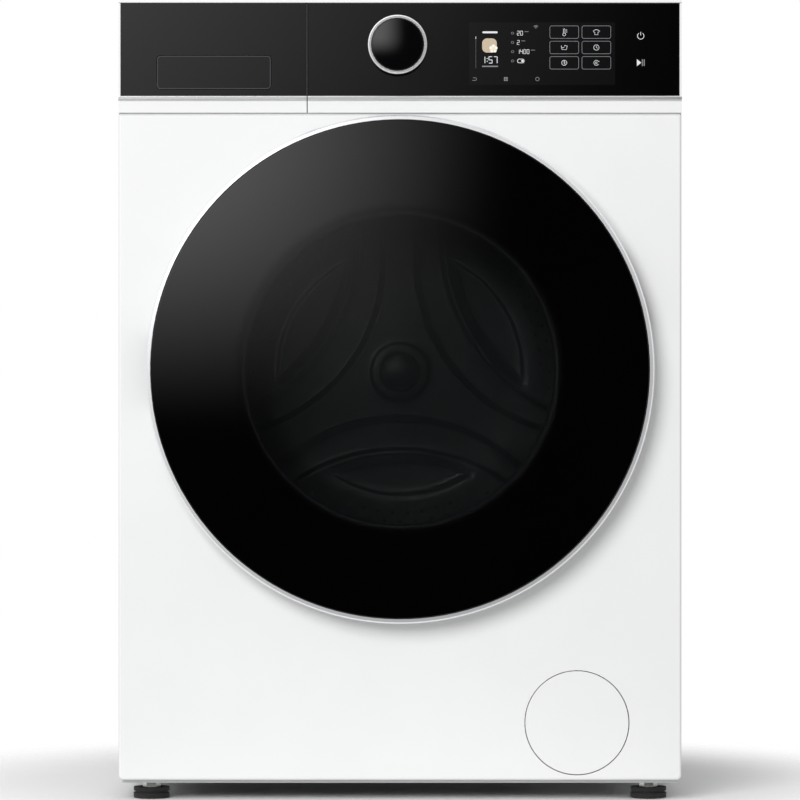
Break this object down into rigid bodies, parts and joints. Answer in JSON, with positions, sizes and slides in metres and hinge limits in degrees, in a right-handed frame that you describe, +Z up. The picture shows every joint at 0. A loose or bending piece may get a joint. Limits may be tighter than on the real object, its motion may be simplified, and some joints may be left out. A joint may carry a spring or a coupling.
{
  "type": "washing machine",
  "caption": "Front load washing machine with a large round smoked glass door, black glass control panel, drawer, knob and adjustable feet.",
  "frame": {"origin": "on the floor under the middle of the machine's overall box", "axes": "+Z up, front faces -Y, +X to the right seen from the front"},
  "size_m": [0.595, 0.61, 0.845],
  "materials": {
    "white_paint": "satin",
    "worktop_laminate": "satin",
    "white_plastic": "satin",
    "galvanised_steel": "satin",
    "zinc_screws": "satin",
    "grey_plastic": "matte",
    "black_panel_glass": "gloss",
    "black_gloss_plastic": "gloss",
    "silver_trim": "satin",
    "door_smoked_glass": "gloss",
    "door_bowl_glass": "gloss",
    "black_plastic": "satin",
    "pump_plastic": "matte",
    "circuit_board": "satin",
    "blue_plastic": "satin",
    "door_seal_rubber": "matte",
    "spring_steel": "satin",
    "white_flap_plastic": "satin",
    "tub_plastic": "matte",
    "concrete": "matte",
    "bearing_steel": "polished",
    "motor_housing": "satin",
    "belt_rubber": "matte",
    "drum_steel": "satin",
    "lifter_plastic": "satin",
    "cast_aluminium": "satin",
    "foot_rubber": "matte"
  },
  "bodies": {
    "cabinet": {"front_panel": "white_paint", "left_side_panel": "white_paint", "right_side_panel": "white_paint", "rear_panel": "galvanised_steel", "cabinet_screws": "zinc_screws", "worktop": "worktop_laminate", "base_frame": "grey_plastic", "cross_braces": "galvanised_steel", "control_fascia": "white_plastic", "control_glass": "black_panel_glass", "fascia_trim": "silver_trim", "display_module": "black_gloss_plastic", "control_board": "circuit_board", "dispenser_housing": "grey_plastic", "inlet_valve": "pump_plastic", "door_hinge_plate": "galvanised_steel", "door_lock": "black_plastic", "drain_pump": "pump_plastic", "door_seal": "door_seal_rubber", "drain_outlet": "black_plastic", "cord_gland": "black_plastic", "suspension_springs": "spring_steel", "damper_cylinders": "black_plastic"},
    "door": {"door_outer_glass": "door_smoked_glass", "door_trim_ring": "silver_trim", "door_frame": "black_plastic", "door_glass_bowl": "door_bowl_glass", "door_hinge_leaf": "spring_steel", "door_screws": "zinc_screws"},
    "latch": {"latch_hook": "black_plastic"},
    "drawer": {"drawer_front": "white_plastic", "drawer_glass": "black_panel_glass", "drawer_trim": "silver_trim", "drawer_tray": "white_plastic", "siphon_cap": "blue_plastic"},
    "drawer_flap": {"drawer_grip_flap": "black_gloss_plastic"},
    "knob": {"knob_cap": "black_gloss_plastic", "knob_ring": "silver_trim"},
    "filter_flap": {"filter_flap": "white_flap_plastic"},
    "pump_filter": {"pump_filter_plug": "black_plastic"},
    "tub": {"tub_front": "tub_plastic", "tub_rear": "tub_plastic", "counterweight_upper": "concrete", "counterweight_front": "concrete", "tub_bearings": "bearing_steel", "heater": "bearing_steel", "motor": "motor_housing", "drive_belt": "belt_rubber", "damper_rods": "spring_steel"},
    "drum": {"drum_shell": "drum_steel", "drum_back": "drum_steel", "drum_lifters": "lifter_plastic", "drum_spider": "cast_aluminium", "drum_shaft": "bearing_steel", "drum_pulley": "cast_aluminium"},
    "motor_rotor": {"motor_pulley": "bearing_steel"},
    "foot_front_left": {"foot_front_left": "foot_rubber"},
    "foot_front_right": {"foot_front_right": "foot_rubber"},
    "foot_rear_left": {"foot_rear_left": "foot_rubber"},
    "foot_rear_right": {"foot_rear_right": "foot_rubber"}
  },
  "joints": [
    {"name": "door_hinge", "type": "hinge", "parent": "cabinet", "child": "door", "pos_m": [-0.254, -0.289, 0.4548], "axis": [0, 0, -1], "range_deg": [0, 130]},
    {"name": "latch_hook_pivot", "type": "hinge", "parent": "door", "child": "latch", "pos_m": [0.236, -0.284, 0.4548], "axis": [0, 0, 1], "range_deg": [0, 8], "stiffness_Nm_per_rad": 0.5, "springref_deg": -5.73},
    {"name": "drawer_slide", "type": "slide", "parent": "cabinet", "child": "drawer", "axis": [0, -1, 0], "range_m": [0, 0.22]},
    {"name": "drawer_flap_hinge", "type": "hinge", "parent": "drawer", "child": "drawer_flap", "pos_m": [-0.1964, -0.2706, 0.7837], "axis": [1, 0, 0], "range_deg": [0, 30], "stiffness_Nm_per_rad": 0.05, "springref_deg": -17.19},
    {"name": "knob_turn", "type": "hinge", "parent": "cabinet", "child": "knob", "pos_m": [-0.0026, -0.28, 0.7963], "axis": [0, 1, 0], "continuous": true},
    {"name": "filter_flap_hinge", "type": "hinge", "parent": "cabinet", "child": "filter_flap", "pos_m": [0.114, -0.265, 0.0814], "axis": [0, 0, -1], "range_deg": [0, 90]},
    {"name": "pump_filter_turn", "type": "hinge", "parent": "cabinet", "child": "pump_filter", "pos_m": [0.187, -0.23, 0.0814], "axis": [0, -1, 0], "range_deg": [0, 540]},
    {"name": "tub_bounce", "type": "slide", "parent": "cabinet", "child": "tub", "axis": [0, 0, 1], "range_m": [-0.01, 0.01], "stiffness_N_per_m": 20000, "springref_m": 0.01754, "deforming": ["door_seal", "suspension_springs"]},
    {"name": "drum_spin", "type": "hinge", "parent": "tub", "child": "drum", "pos_m": [0, 0.15, 0.4548], "axis": [0, 1, 0], "continuous": true},
    {"name": "motor_spin", "type": "hinge", "parent": "tub", "child": "motor_rotor", "pos_m": [0, 0.2, 0.112], "axis": [0, 1, 0], "continuous": true},
    {"name": "foot_front_left_screw", "type": "slide", "parent": "cabinet", "child": "foot_front_left", "axis": [0, 0, -1], "range_m": [0, 0.012]},
    {"name": "foot_front_right_screw", "type": "slide", "parent": "cabinet", "child": "foot_front_right", "axis": [0, 0, -1], "range_m": [0, 0.012]},
    {"name": "foot_rear_left_screw", "type": "slide", "parent": "cabinet", "child": "foot_rear_left", "axis": [0, 0, -1], "range_m": [0, 0.012]},
    {"name": "foot_rear_right_screw", "type": "slide", "parent": "cabinet", "child": "foot_rear_right", "axis": [0, 0, -1], "range_m": [0, 0.012]}
  ],
  "couplings": [
    {"joint": "motor_spin", "follows": "drum_spin", "ratio": 13.182}
  ]
}
